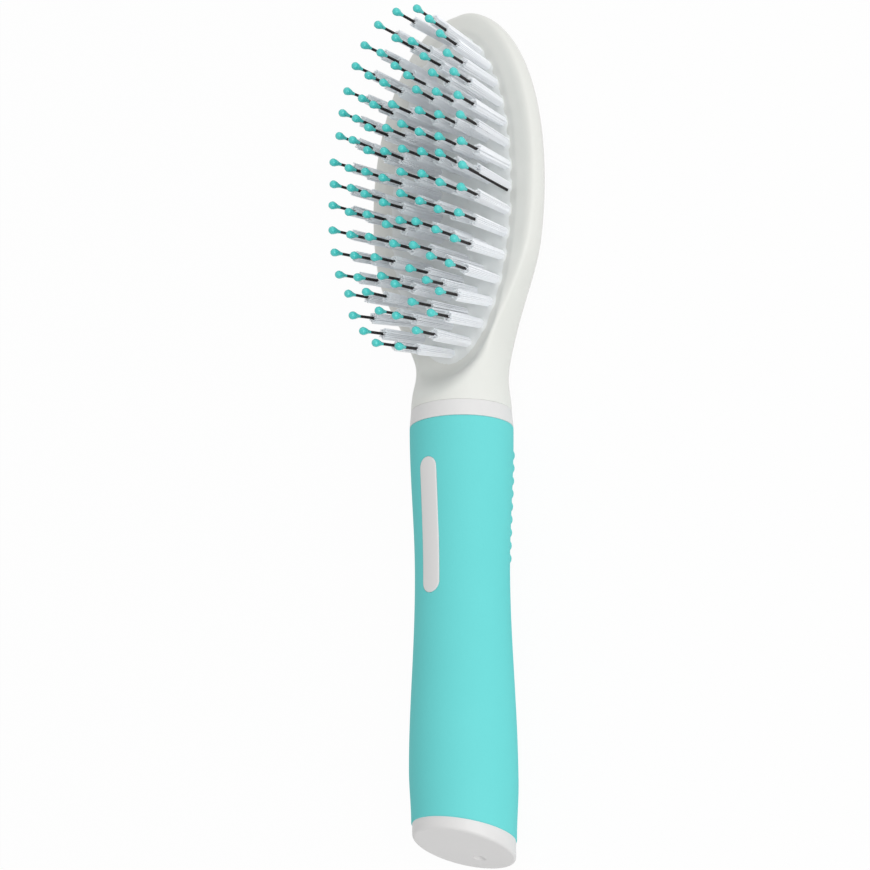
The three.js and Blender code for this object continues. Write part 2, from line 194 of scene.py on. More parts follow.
def close_ends(mesh: bmesh.types.BMesh) -> None:
    """Fills every open rim of a mesh and turns its faces outwards.

    Args:
        mesh: The mesh, changed in place.
    """
    rims = open_rims(mesh)
    if rims:
        bmesh.ops.holes_fill(mesh, edges=rims, sides=0)
    bmesh.ops.recalc_face_normals(mesh, faces=mesh.faces)


def spun(outline: Iterable[tuple[float, float]], steps: int) -> bmesh.types.BMesh:
    """A round solid from an outline that begins and ends on the x axis, or closes on itself.

    Args:
        outline: Pairs of place along x and radius.
        steps: Number of facets round the axis.

    Returns:
        The closed round mesh.
    """
    mesh = bmesh.new()
    verts = [mesh.verts.new((along, 0.0, radius)) for along, radius in outline]
    edges = [mesh.edges.new(pair) for pair in zip(verts, verts[1:])]
    bmesh.ops.spin(
        mesh, geom=verts + edges, cent=(0, 0, 0), axis=(1, 0, 0), angle=math.tau, steps=steps,
        use_merge=True,
    )
    bmesh.ops.remove_doubles(mesh, verts=mesh.verts, dist=TOLERANCE)
    close_ends(mesh)
    return mesh


def disc_point(across: float, up: float) -> tuple[float, float]:
    """Moves a point of the square from -1 to 1 onto the unit disc, with the square's rim on the disc's."""
    return across * math.sqrt(1 - up * up / 2), up * math.sqrt(1 - across * across / 2)


def add_skirt(mesh: bmesh.types.BMesh, offset: Vector) -> None:
    """Draws the rim of a sheet out to a skirt and closes the far side.

    Args:
        mesh: The sheet, changed in place.
        offset: Way from the rim to the foot of the skirt.
    """
    drawn = bmesh.ops.extrude_edge_only(mesh, edges=open_rims(mesh))["geom"]
    foot = [item for item in drawn if isinstance(item, bmesh.types.BMVert)]
    bmesh.ops.translate(mesh, verts=foot, vec=offset)
    close_ends(mesh)


def add_rod(
    mesh: bmesh.types.BMesh, radius: float, sides: int, foot: float, top: float, place: Matrix,
) -> None:
    """Adds a straight rod, which stands along z before it is placed.

    Args:
        mesh: The mesh that takes the rod.
        radius: Radius of the rod.
        sides: Number of its sides.
        foot: Height of its lower end.
        top: Height of its upper end.
        place: Where it goes.
    """
    middle = Matrix.Translation((0, 0, (foot + top) / 2))
    bmesh.ops.create_cone(
        mesh, cap_ends=True, segments=sides, radius1=radius, radius2=radius, depth=top - foot,
        matrix=place @ middle,
    )


def copies(pattern: bmesh.types.BMesh, places: Iterable[Matrix], into: bmesh.types.BMesh) -> None:
    """Adds a copy of a small mesh at each place.

    Args:
        pattern: The small mesh.
        places: One matrix a copy.
        into: The mesh that takes the copies.
    """
    data = bpy.data.meshes.new("pattern")
    pattern.to_mesh(data)
    for place in places:
        moved = data.copy()
        moved.transform(place)
        into.from_mesh(moved)
        bpy.data.meshes.remove(moved)
    bpy.data.meshes.remove(data)


# Finishes


def linear(hex_colour: str) -> tuple[float, float, float, float]:
    """Turns an sRGB colour into linear light.

    Args:
        hex_colour: The colour, such as "#E8E9E4".

    Returns:
        Red, green, blue and full alpha.
    """
    shares = [byte / 255 for byte in bytes.fromhex(hex_colour.removeprefix("#"))]
    red, green, blue = [
        share / SRGB_TOE_SLOPE if share <= SRGB_TOE
        else ((share + SRGB_OFFSET) / (1 + SRGB_OFFSET)) ** SRGB_POWER
        for share in shares
    ]
    return red, green, blue, 1.0


def per_metre(size_mm: float) -> float:
    """Scale of a pattern on Object coordinates whose features are that many millimetres across."""
    return 1 / (size_mm * MM)


def add_node(
    tree: bpy.types.NodeTree, kind: str, settings: dict | None = None, links: dict | None = None,
) -> bpy.types.Node:
    """Adds a node to a tree.

    Args:
        tree: The node tree.
        kind: Blender's name for the node's type.
        settings: Values by the name of a socket or of a property of the node.
        links: Output sockets by the name of the input that they feed.

    Returns:
        The new node.
    """
    node = tree.nodes.new(kind)
    for name, value in (settings or {}).items():
        if hasattr(node, name):
            setattr(node, name, value)
        else:
            node.inputs[name].default_value = value
    for name, source in (links or {}).items():
        tree.links.new(source, node.inputs[name])
    return node


@dataclass(frozen=True)
class MouldedSurface:
    """A moulded plastic: its colour drifts a little over the part and a fine grain breaks its gloss."""

    name: str
    colour: str
    drift_colour: str
    roughness: float
    gloss_swing: float = 0.08
    ior: float = 1.54
    specular: float = 0.5
    coat: float = 0.0
    drift_mm: float = 24.0
    drift_detail: float = 3.0
    grain_mm: float = 0.5
    grain_detail: float = 2.0
    grain_depth_mm: float = 0.02
    grain_strength: float = 0.5
    stretch: tuple[float, float, float] = (1.0, 1.0, 1.0)

    def material(self) -> bpy.types.Material:
        """Builds the material.

        Returns:
            The material, named for what it is made of.
        """
        material = bpy.data.materials.new(self.name)
        material.use_nodes = True
        tree = material.node_tree
        tree.nodes.clear()
        place = add_node(tree, "ShaderNodeTexCoord").outputs["Object"]
        drawn = add_node(
            tree, "ShaderNodeMapping", {"Scale": self.stretch}, {"Vector": place},
        ).outputs["Vector"]
        drift = add_node(
            tree, "ShaderNodeTexNoise", {"Scale": per_metre(self.drift_mm), "Detail": self.drift_detail},
            {"Vector": place},
        ).outputs["Fac"]
        grain = add_node(
            tree, "ShaderNodeTexNoise", {"Scale": per_metre(self.grain_mm), "Detail": self.grain_detail},
            {"Vector": drawn},
        ).outputs["Fac"]
        tint = add_node(
            tree, "ShaderNodeMix",
            {"data_type": "RGBA", "A": linear(self.colour), "B": linear(self.drift_colour)},
            {"Factor": drift},
        ).outputs["Result"]
        gloss = add_node(
            tree, "ShaderNodeMapRange",
            {"To Min": self.roughness - self.gloss_swing, "To Max": self.roughness + self.gloss_swing},
            {"Value": grain},
        ).outputs["Result"]
        bump = add_node(
            tree, "ShaderNodeBump", {"Strength": self.grain_strength, "Distance": self.grain_depth_mm * MM},
            {"Height": grain},
        ).outputs["Normal"]
        shader = add_node(
            tree, "ShaderNodeBsdfPrincipled",
            {"IOR": self.ior, "Specular IOR Level": self.specular, "Coat Weight": self.coat},
            {"Base Color": tint, "Roughness": gloss, "Normal": bump},
        )
        add_node(tree, "ShaderNodeOutputMaterial", links={"Surface": shader.outputs["BSDF"]})
        return material


# ABS moulded against a finely eroded tool: a warm white with a satin gloss.
HEAD_ABS = MouldedSurface("abs_white_satin", "#E5E6E1", "#E0E1DC", roughness=0.42)

# The same ABS with no warmth: the handle's collar, inlay and end cap look a touch cooler than the head.
TRIM_ABS = MouldedSurface("abs_white_trim", "#E1E0DF", "#DCDBDB", roughness=0.45)

# The bristle bed is the head's plastic in a cooler, flatter white, made lighter than the head's white:
# painted light that lifts the shade between the tufts.
BED_ABS_PAINTED_LIGHT = MouldedSurface("abs_white_bed_painted_light", "#EEF0EF", "#EAEDEC", roughness=0.5, drift_mm=9.0)

# Soft-touch elastomer moulded over the core: matte, with a broad haze instead of a highlight.
GRIP_ELASTOMER = MouldedSurface(
    "tpe_teal_soft_touch", "#6FD8D7", "#69D2D1", roughness=0.7, specular=0.22, grain_mm=0.6,
    grain_depth_mm=0.03,
)

# Drawn nylon filament: bluish white and milky, with streaks along the strand, drawn coarser to show. Its
# white is the nylon's own, raised close to full reflectance as painted light that stands in for light
# passing through the translucent strands into the shaded tufts.
FILAMENT_NYLON = MouldedSurface(
    "nylon_white_filament", "#FBFDFF", "#F7FAFF", roughness=0.5, ior=1.53, drift_mm=3.0, grain_mm=0.6,
    grain_depth_mm=0.005, stretch=(1.0, 1.0, 0.08),
)

# Extruded black nylon: nearly black, with a faint streak of light along the quill.
QUILL_NYLON = MouldedSurface(
    "nylon_black_quill", "#1B1818", "#231F1F", roughness=0.5, ior=1.53, specular=0.25, drift_mm=4.0,
    stretch=(1.0, 1.0, 0.1),
)

# Dipped epoxy bead: a bright teal drop with a glossy skin.
BEAD_EPOXY = MouldedSurface(
    "epoxy_teal_bead", "#47D0CB", "#40C7C3", roughness=0.24, gloss_swing=0.05, coat=0.3, drift_mm=2.0,
    grain_mm=0.7, grain_depth_mm=0.01,
)


# The brush


@dataclass(frozen=True)
class Placement:
    """Where the brush lies in the frame."""

    seam_x: float
    axis_z: float

    @classmethod
    def from_frame(cls, head_length: float) -> "Placement":
        """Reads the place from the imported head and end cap.

        Args:
            head_length: Length from the seam to the tip.

        Returns:
            The place in millimetres.
        """
        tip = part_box("head_shell")[1].x / MM
        low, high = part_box("end_cap")
        return cls(seam_x=tip - head_length, axis_z=(low.z + high.z) / 2 / MM)

    def matrix(self) -> Matrix:
        """Turns the brush's own millimetres into the frame's metres."""
        return Matrix.Scale(MM, 4) @ Matrix.Translation((self.seam_x, 0, self.axis_z))

    def piece(
        self, mesh: bmesh.types.BMesh, name: str, finish: bpy.types.Material, slot: Slot, *nodes: str,
    ) -> bpy.types.Object:
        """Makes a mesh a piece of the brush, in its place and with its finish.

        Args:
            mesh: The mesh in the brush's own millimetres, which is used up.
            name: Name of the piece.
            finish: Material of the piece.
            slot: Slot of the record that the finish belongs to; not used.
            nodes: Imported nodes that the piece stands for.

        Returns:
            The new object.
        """
        bmesh.ops.transform(mesh, matrix=self.matrix(), verts=mesh.verts)
        data = bpy.data.meshes.new(name)
        mesh.to_mesh(data)
        mesh.free()
        data.materials.append(finish)
        data.shade_smooth()
        data.set_sharp_from_angle(angle=math.radians(SHARP_DEGREES))
        piece = bpy.data.objects.new(name, data)
        bpy.context.scene.collection.objects.link(piece)
        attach(piece, BODY)
        if nodes:
            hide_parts(*nodes)
        return piece


@dataclass(frozen=True)
class Section:
    """Cross-section of the head: a squarish front half and a domed back half, which meet at the parting."""

    half_width: float
    parting: float
    front: float
    back: float
    front_power: float
    back_fullness: float

    def height(self, across: float, flank: Flank) -> float:
        """Height of the skin.

        Args:
            across: Distance from the middle plane.
            flank: The half of the section that is asked for.

        Returns:
            Height over the axis of the handle.
        """
        share = min(abs(across) / self.half_width, 1.0) if self.half_width > TOLERANCE else 1.0
        if flank is Flank.FRONT:
            return self.parting + self.front * (1 - share ** self.front_power) ** (1 / self.front_power)
        return self.parting - self.back * (1 - share * share) ** self.back_fullness


@dataclass
class BrushHead:
    """Head and neck: one moulding with a dished face, a soft rim and a domed back."""

    length: float = 110.3
    half_length: float = 50.5
    half_width: float = 28.6
    shoulder_behind_centre: float = 17.6
    seam_radius: float = 12.9
    neck_radius: float = 12.2
    neck_waist_at: float = 8.5
    neck_flare: float = 0.03
    neck_blend: float = 19.6
    neck_power: float = 2.0
    parting_rise: float = 1.55
    rim_height: float = 4.25
    rim_squareness: float = 4.0
    tip_bow: float = 1.3
    neck_fullness: float = 0.5
    back_fullness: float = 0.65
    back_land_cut: float = 0.6
    land_round: float = 0.6
    tip_front_squareness: float = 14.0
    tip_back_roundness: float = 4.3
    rim_width: float = 5.35
    rim_end_width: float = 4.65
    bed_behind_centre: float = 1.4
    bed_crown: float = 5.0
    bed_length_radius: float = 600.0
    bed_width_radius: float = 230.0
    dish_from: float = 12.5
    dish_tip_margin: float = 7.8
    dish_side_margin: float = 8.1
    dish_radius: float = 5.0
    dish_tilt: float = 19.0
    scoop_radius: float = 5.0
    scoop_tilt: float = 60.0
    dish_core: float = 0.5
    recess: float = 1.6
    ridge_round: float = 2.2
    scoop_round: float = 5.5
    scoop_fades_at: float = 22.0
    scoop_run: float = 11.0
    seam_edge: float = 0.08
    seam_lip: float = 3.0
    front_columns: int = 96
    back_columns: int = 56
    fine_pitch: float = 0.4
    coarse_pitch: float = 1.2
    tip_rows: int = 44

    @property
    def centre(self) -> float:
        """Middle of the oval paddle, from the seam."""
        return self.length - self.half_length

    @property
    def bed_centre(self) -> float:
        """Crown of the domed bed and middle of the ovals of tufts, from the seam."""
        return self.centre - self.bed_behind_centre

    @property
    def plate_half_length(self) -> float:
        """Half the length of the plate that the ovals of tufts keep a margin from."""
        return self.half_length - self.rim_end_width + self.bed_behind_centre

    @property
    def plate_half_width(self) -> float:
        """Half the width of the plate that the ovals of tufts keep a margin from."""
        return self.half_width - self.rim_width

    @property
    def dish_tip(self) -> float:
        """Far end of the oval that the dish rises from, from the seam."""
        return self.length - self.dish_tip_margin

    @property
    def dish_centre(self) -> float:
        """Middle of the oval that the dish rises from, from the seam."""
        return (self.dish_tip + self.dish_from) / 2

    @property
    def dish_half_length(self) -> float:
        """Half the length of the oval that the dish rises from."""
        return (self.dish_tip - self.dish_from) / 2

    @property
    def dish_half_width(self) -> float:
        """Half the width of the oval that the dish rises from."""
        return self.half_width - self.dish_side_margin

    def paddle_half_width(self, x: float) -> float:
        """Half width of the plain oval at a station."""
        share = min(max((x - self.centre) / self.half_length, -1.0), 1.0)
        return self.half_width * math.sqrt(1 - share * share)

    def half_width_at(self, x: float) -> float:
        """Half width of the head: the oval, the shoulder that runs into the neck, and the neck.

        Args:
            x: Distance from the seam.

        Returns:
            Half the width there.
        """
        shoulder = self.centre - self.shoulder_behind_centre
        if x >= shoulder:
            return self.paddle_half_width(x)
        if x <= self.neck_waist_at:
            return lerp(self.seam_radius, self.neck_radius, ease(x / self.neck_waist_at))
        run = shoulder - self.neck_waist_at
        share = (x - self.neck_waist_at) / run
        width = self.paddle_half_width(shoulder)
        fall = self.shoulder_behind_centre / self.half_length
        slope = self.half_width ** 2 * fall / (self.half_length * width)
        blend = lerp(self.neck_radius, width, share * share * (3 - 2 * share))
        leaving = self.neck_flare * share * (1 - share) ** 2
        arriving = slope * share * share * (share - 1)
        return blend + run * (leaving + arriving)

    def section(self, x: float, inset: float, axis_z: float) -> Section:
        """Cross-section at a station.

        Args:
            x: Distance from the seam.
            inset: Distance that the skin is drawn in, at the edge of the seam.
            axis_z: Height of the handle's axis over the table.

        Returns:
            The section.
        """
        neck = self.half_width_at(min(x, self.neck_waist_at)) - inset
        paddle = ease((x - self.neck_waist_at) / self.neck_blend)
        past = min(max((x - self.centre) / self.half_length, 0.0), 1.0)
        sag = self.tip_bow * ((x - self.centre) / self.half_length) ** 2 * paddle
        depth = axis_z + self.parting_rise + self.back_land_cut - sag
        return Section(
            half_width=self.half_width_at(x) - inset,
            parting=self.parting_rise * paddle - sag,
            front=lerp(neck, self.rim_height, paddle) * math.sqrt(1 - past ** self.tip_front_squareness),
            back=lerp(neck, depth, paddle) * math.sqrt(1 - past ** self.tip_back_roundness),
            front_power=lerp(self.neck_power, self.rim_squareness, paddle),
            back_fullness=lerp(self.neck_fullness, self.back_fullness, paddle),
        )

    def bed_height(self, x: float, across: float) -> float:
        """Height of the domed bed at a station and a distance from the middle plane."""
        fall = (x - self.bed_centre) ** 2 / self.bed_length_radius + across ** 2 / self.bed_width_radius
        return self.bed_crown - fall / 2

    def dish_run(self, x: float, across: float) -> float:
        """Distance outwards from the oval where the dish leaves the bed.

        Args:
            x: Distance from the seam.
            across: Distance from the middle plane.

        Returns:
            The distance, negative inside the oval.
        """
        along, long, wide = x - self.dish_centre, self.dish_half_length, self.dish_half_width
        reach = math.hypot(along / long, across / wide)
        if reach < self.dish_core:
            return -self.recess
        return (reach - 1) * reach / math.hypot(along / long ** 2, across / wide ** 2)

    def face_height(self, x: float, across: float, skin: float) -> float:
        """Height of the face: the dish laps over the edge of the bed and rises to the rim.

        The rise is gentle beside the bed and at the tip, and a steep wall with a soft crest at the neck.

        Args:
            x: Distance from the seam.
            across: Distance from the middle plane.
            skin: Height of the head there if it had no dish.

        Returns:
            Height of the face, which lies below the bed inside the bed's edge.
        """
        bed = self.bed_height(x, across)
        run = self.dish_run(x, across)
        if run <= 0:
            return bed - self.recess * ease(-run / self.recess)
        neck = ease((self.scoop_fades_at - x) / self.scoop_run)
        radius = lerp(self.dish_radius, self.scoop_radius, neck)
        bend = min(run / radius, math.sin(math.radians(lerp(self.dish_tilt, self.scoop_tilt, neck))))
        flat = math.sqrt(1 - bend * bend)
        dish = bed + radius * (1 - flat) + (run - bend * radius) * bend / flat
        soft = lerp(self.ridge_round, self.scoop_round, neck)
        return soft_min(skin, dish, soft * ease(run / radius) + TOLERANCE)

    def rows(self) -> list[tuple[float, float]]:
        """Stations of the skin from the seam to the tip.

        Returns:
            Pairs of distance from the seam and inset of the skin.
        """
        rim = [(0.0, self.seam_lip)] + quarter_round(self.seam_edge)
        scoop_end = self.dish_from + self.dish_radius
        tip_from = self.dish_tip - self.dish_radius
        first = math.asin((tip_from - self.centre) / self.half_length)
        stations = spaced(self.seam_edge, scoop_end, self.fine_pitch)
        stations += spaced(scoop_end, tip_from, self.coarse_pitch)
        angles = spaced(first, math.pi / 2, (math.pi / 2 - first) / self.tip_rows)
        stations += [self.centre + self.half_length * math.sin(angle) for angle in angles]
        return rim + [(x, 0.0) for x in stations]

    def build(self, placement: Placement) -> bpy.types.Object:
        """Models the head and dresses it.

        Args:
            placement: Where the brush lies.

        Returns:
            The head.
        """
        rows = self.rows()
        sections = [self.section(x, inset, placement.axis_z) for x, inset in rows]

        def place(row: int, column: int) -> Vector:
            """Point of the skin.

            Args:
                row: Number of the station, from the seam.
                column: Number of the point round the section, over the front first.

            Returns:
                The point.
            """
            x, section = rows[row][0], sections[row]
            if column < self.front_columns:
                across = section.half_width * math.cos(math.pi * column / self.front_columns)
                skin = section.height(across, Flank.FRONT)
                return Vector((x, across, self.face_height(x, across, skin)))
            turn = math.pi * (column - self.front_columns) / self.back_columns
            across = -section.half_width * math.cos(turn)
            skin = section.height(across, Flank.BACK)
            return Vector((x, across, -soft_min(-skin, placement.axis_z, self.land_round)))

        mesh = tube_skin(len(rows), self.front_columns + self.back_columns, place)
        close_ends(mesh)
        return placement.piece(mesh, "head", HEAD_ABS.material(), Slot.WHITE_ABS, "head_shell")


@dataclass(frozen=True)
class TuftRing:
    """One oval of tufts, with its length as a share of the outer oval's."""

    tufts: int
    length_share: float


@dataclass
class TuftField:
    """The bristle bed and everything that stands in it: filaments, quills and beads."""

    head: BrushHead
    rings: tuple[TuftRing, ...] = (
        TuftRing(34, 1.0), TuftRing(28, 0.83), TuftRing(22, 0.655), TuftRing(12, 0.415),
    )
    side_margin: float = 3.35
    end_margin: float = 3.8
    fan_length_radius: float = 390.0
    fan_width_radius: float = 150.0
    fan_ahead_of_bed: float = 9.0
    seed: int = 11
    lean_degrees: float = 1.0
    oval_steps: int = 720
    bed_columns: int = 188
    bed_rows: int = 94
    bed_lap: float = 0.8
    bed_thickness: float = 1.2
    boss_radius: float = 1.3
    boss_skirt: float = 0.9
    boss_height: float = 0.2
    filament_radius: float = 0.18
    filament_pitch: float = 0.36
    filament_drift: float = 0.03
    filament_sides: int = 5
    filament_length: float = 14.0
    filament_uneven: float = 0.35
    filament_splay_degrees: float = 1.2
    filament_root: float = 1.0
    filament_rings: int = 3
    tuft_patterns: int = 6
    quill_radius: float = 0.38
    quill_sides: int = 10
    quill_length: float = 20.9
    bead_radius: float = 1.08
    bead_tail: float = 2.4
    bead_collar: float = 0.04
    bead_rings: int = 4
    bead_sides: int = 10
    stray_tuft: int = 24
    stray_shift: float = 1.15
    seats: list[Matrix] = field(init=False)

    def __post_init__(self) -> None:
        """Works out the seats of the tufts."""
        self.seats = self.find_seats()

    def oval_points(self, ring: TuftRing, index: int) -> list[tuple[float, float]]:
        """Evenly spaced places on one oval of tufts.

        Args:
            ring: The oval.
            index: Its number, from the outside in.

        Returns:
            Pairs of distance along and across from the middle of the bed.
        """
        columns = 2 * len(self.rings) - 1
        long = (self.head.plate_half_length - self.end_margin) * ring.length_share
        wide = (self.head.plate_half_width - self.side_margin) * (1 - 2 * index / columns)
        angles = [math.tau * step / self.oval_steps for step in range(self.oval_steps + 1)]
        trace = [(long * math.cos(angle), wide * math.sin(angle)) for angle in angles]
        lengths = [0.0]
        for start, end in zip(trace, trace[1:]):
            lengths.append(lengths[-1] + math.dist(start, end))
        points = []
        for tuft in range(1, ring.tufts + 1):
            target = lengths[-1] * tuft / ring.tufts
            step = max(place for place, length in enumerate(lengths) if length <= target + TOLERANCE)
            points.append(trace[step])
        return points

    def find_seats(self) -> list[Matrix]:
        """Frames on the bed, one a tuft, with z along the tuft and a small lean of its own.

        Returns:
            The frames, from the outer oval in.
        """
        chance = random.Random(self.seed)
        seats = []
        for index, ring in enumerate(self.rings):
            for along, across in self.oval_points(ring, index):
                ahead = along - self.fan_ahead_of_bed
                aim = Vector((ahead / self.fan_length_radius, across / self.fan_width_radius, 1.0))
                lean = [math.radians(chance.gauss(0, self.lean_degrees)) for _ in range(2)]
                spin = chance.uniform(0, math.tau)
                x = self.head.bed_centre + along
                foot = Vector((x, across, self.head.bed_height(x, across)))
                upright = Vector((0, 0, 1)).rotation_difference(aim).to_matrix().to_4x4()
                seats.append(
                    Matrix.Translation(foot) @ upright
                    @ Matrix.Rotation(lean[0], 4, "X") @ Matrix.Rotation(lean[1], 4, "Y")
                    @ Matrix.Rotation(spin, 4, "Z")
                )
        return seats

    def boss(self, distance: float) -> float:
        """Height of the low boss round a tuft at a distance from its middle."""
        return self.boss_height * (1 - ease((distance - self.boss_radius) / self.boss_skirt))

    def build_bed(self, placement: Placement) -> bpy.types.Object:
        """Models the domed bed, which reaches a little under the dish, with a low boss round each tuft.

        Args:
            placement: Where the brush lies.

        Returns:
            The bed.
        """
        feet = KDTree(len(self.seats))
        for index, seat in enumerate(self.seats):
            foot = seat.translation
            feet.insert((foot.x, foot.y, 0.0), index)
        feet.balance()
        mesh = sheet(self.bed_columns, self.bed_rows)
        for vert in mesh.verts:
            share_along, share_across = disc_point(vert.co.x, vert.co.y)
            x = self.head.dish_centre + (self.head.dish_half_length + self.bed_lap) * share_along
            across = (self.head.dish_half_width + self.bed_lap) * share_across
            near = feet.find((x, across, 0.0))[2]
            vert.co = (x, across, self.head.bed_height(x, across) + self.boss(near))
        add_skirt(mesh, Vector((0, 0, -self.bed_thickness)))
        return placement.piece(mesh, "bristle_bed", BED_ABS_PAINTED_LIGHT.material(), Slot.WHITE_ABS)

    def tuft_pattern(self, chance: random.Random) -> bmesh.types.BMesh:
        """One tuft: filaments packed round the quill, a little splayed and unevenly trimmed.

        Args:
            chance: Source of the unevenness.

        Returns:
            The tuft, standing on the origin.
        """
        tuft = bmesh.new()
        count = self.filament_rings
        cells = [
            (q, r) for q in range(-count, count + 1) for r in range(-count, count + 1)
            if abs(q + r) <= count and (q, r) != (0, 0)
        ]
        for q, r in cells:
            x = self.filament_pitch * (q + r / 2) + chance.gauss(0, self.filament_drift)
            y = self.filament_pitch * r * math.sqrt(3) / 2 + chance.gauss(0, self.filament_drift)
            top = self.filament_length + chance.uniform(-1, 1) * self.filament_uneven
            splay = math.radians(self.filament_splay_degrees) / (self.filament_pitch * count)
            tilt = Matrix.Rotation(-splay * y, 4, "X") @ Matrix.Rotation(splay * x, 4, "Y")
            place = Matrix.Translation((x, y, 0)) @ tilt
            add_rod(tuft, self.filament_radius, self.filament_sides, -self.filament_root, top, place)
        return tuft

    def build_filaments(self, placement: Placement) -> bpy.types.Object:
        """Models the white filaments of all the tufts.

        Args:
            placement: Where the brush lies.

        Returns:
            The filaments.
        """
        chance = random.Random(self.seed + 1)
        mesh = bmesh.new()
        for pattern in range(self.tuft_patterns):
            tuft = self.tuft_pattern(chance)
            copies(tuft, self.seats[pattern::self.tuft_patterns], mesh)
            tuft.free()
        return placement.piece(
            mesh, "filament_tufts", FILAMENT_NYLON.material(), Slot.WHITE_NYLON, "filament_plate",
        )

    def quill_frames(self) -> list[Matrix]:
        """Frames of the quills: those of the tufts, but one quill stands beside its tuft.

        Returns:
            The frames, in the order of the tufts.
        """
        frames = list(self.seats)
        shift = Matrix.Translation((-self.stray_shift, 0, 0))
        frames[self.stray_tuft] = shift @ frames[self.stray_tuft]
        return frames

    def build_quills(self, placement: Placement) -> bpy.types.Object:
        """Models the black quills.

        Args:
            placement: Where the brush lies.

        Returns:
            The quills.
        """
        top = self.quill_length - self.bead_tail / 2
        quill = bmesh.new()
        add_rod(quill, self.quill_radius, self.quill_sides, -self.filament_root, top, Matrix.Identity(4))
        mesh = bmesh.new()
        copies(quill, self.quill_frames(), mesh)
        quill.free()
        return placement.piece(mesh, "quills", QUILL_NYLON.material(), Slot.BLACK_NYLON, "quill_plate")

    def build_beads(self, placement: Placement) -> bpy.types.Object:
        """Models the drop-shaped beads on the ends of the quills.

        Args:
            placement: Where the brush lies.

        Returns:
            The beads.
        """
        collar = self.quill_radius + self.bead_collar
        outline = [(-self.bead_tail, 0.0)]
        for step in range(self.bead_rings):
            share = 1 - step / self.bead_rings
            swell = math.cos(math.pi / 2 * share) ** 2
            outline.append((-self.bead_tail * share, lerp(collar, self.bead_radius, swell)))
        for step in range(self.bead_rings + 1):
            angle = math.pi / 2 * step / self.bead_rings
            outline.append((self.bead_radius * math.sin(angle), self.bead_radius * math.cos(angle)))
        bead = spun(outline, self.bead_sides)
        upright = Matrix.Translation((0, 0, self.quill_length)) @ Matrix.Rotation(-math.pi / 2, 4, "Y")
        mesh = bmesh.new()
        copies(bead, [place @ upright for place in self.quill_frames()], mesh)
        bead.free()
        return placement.piece(mesh, "beads", BEAD_EPOXY.material(), Slot.TEAL_BEAD)


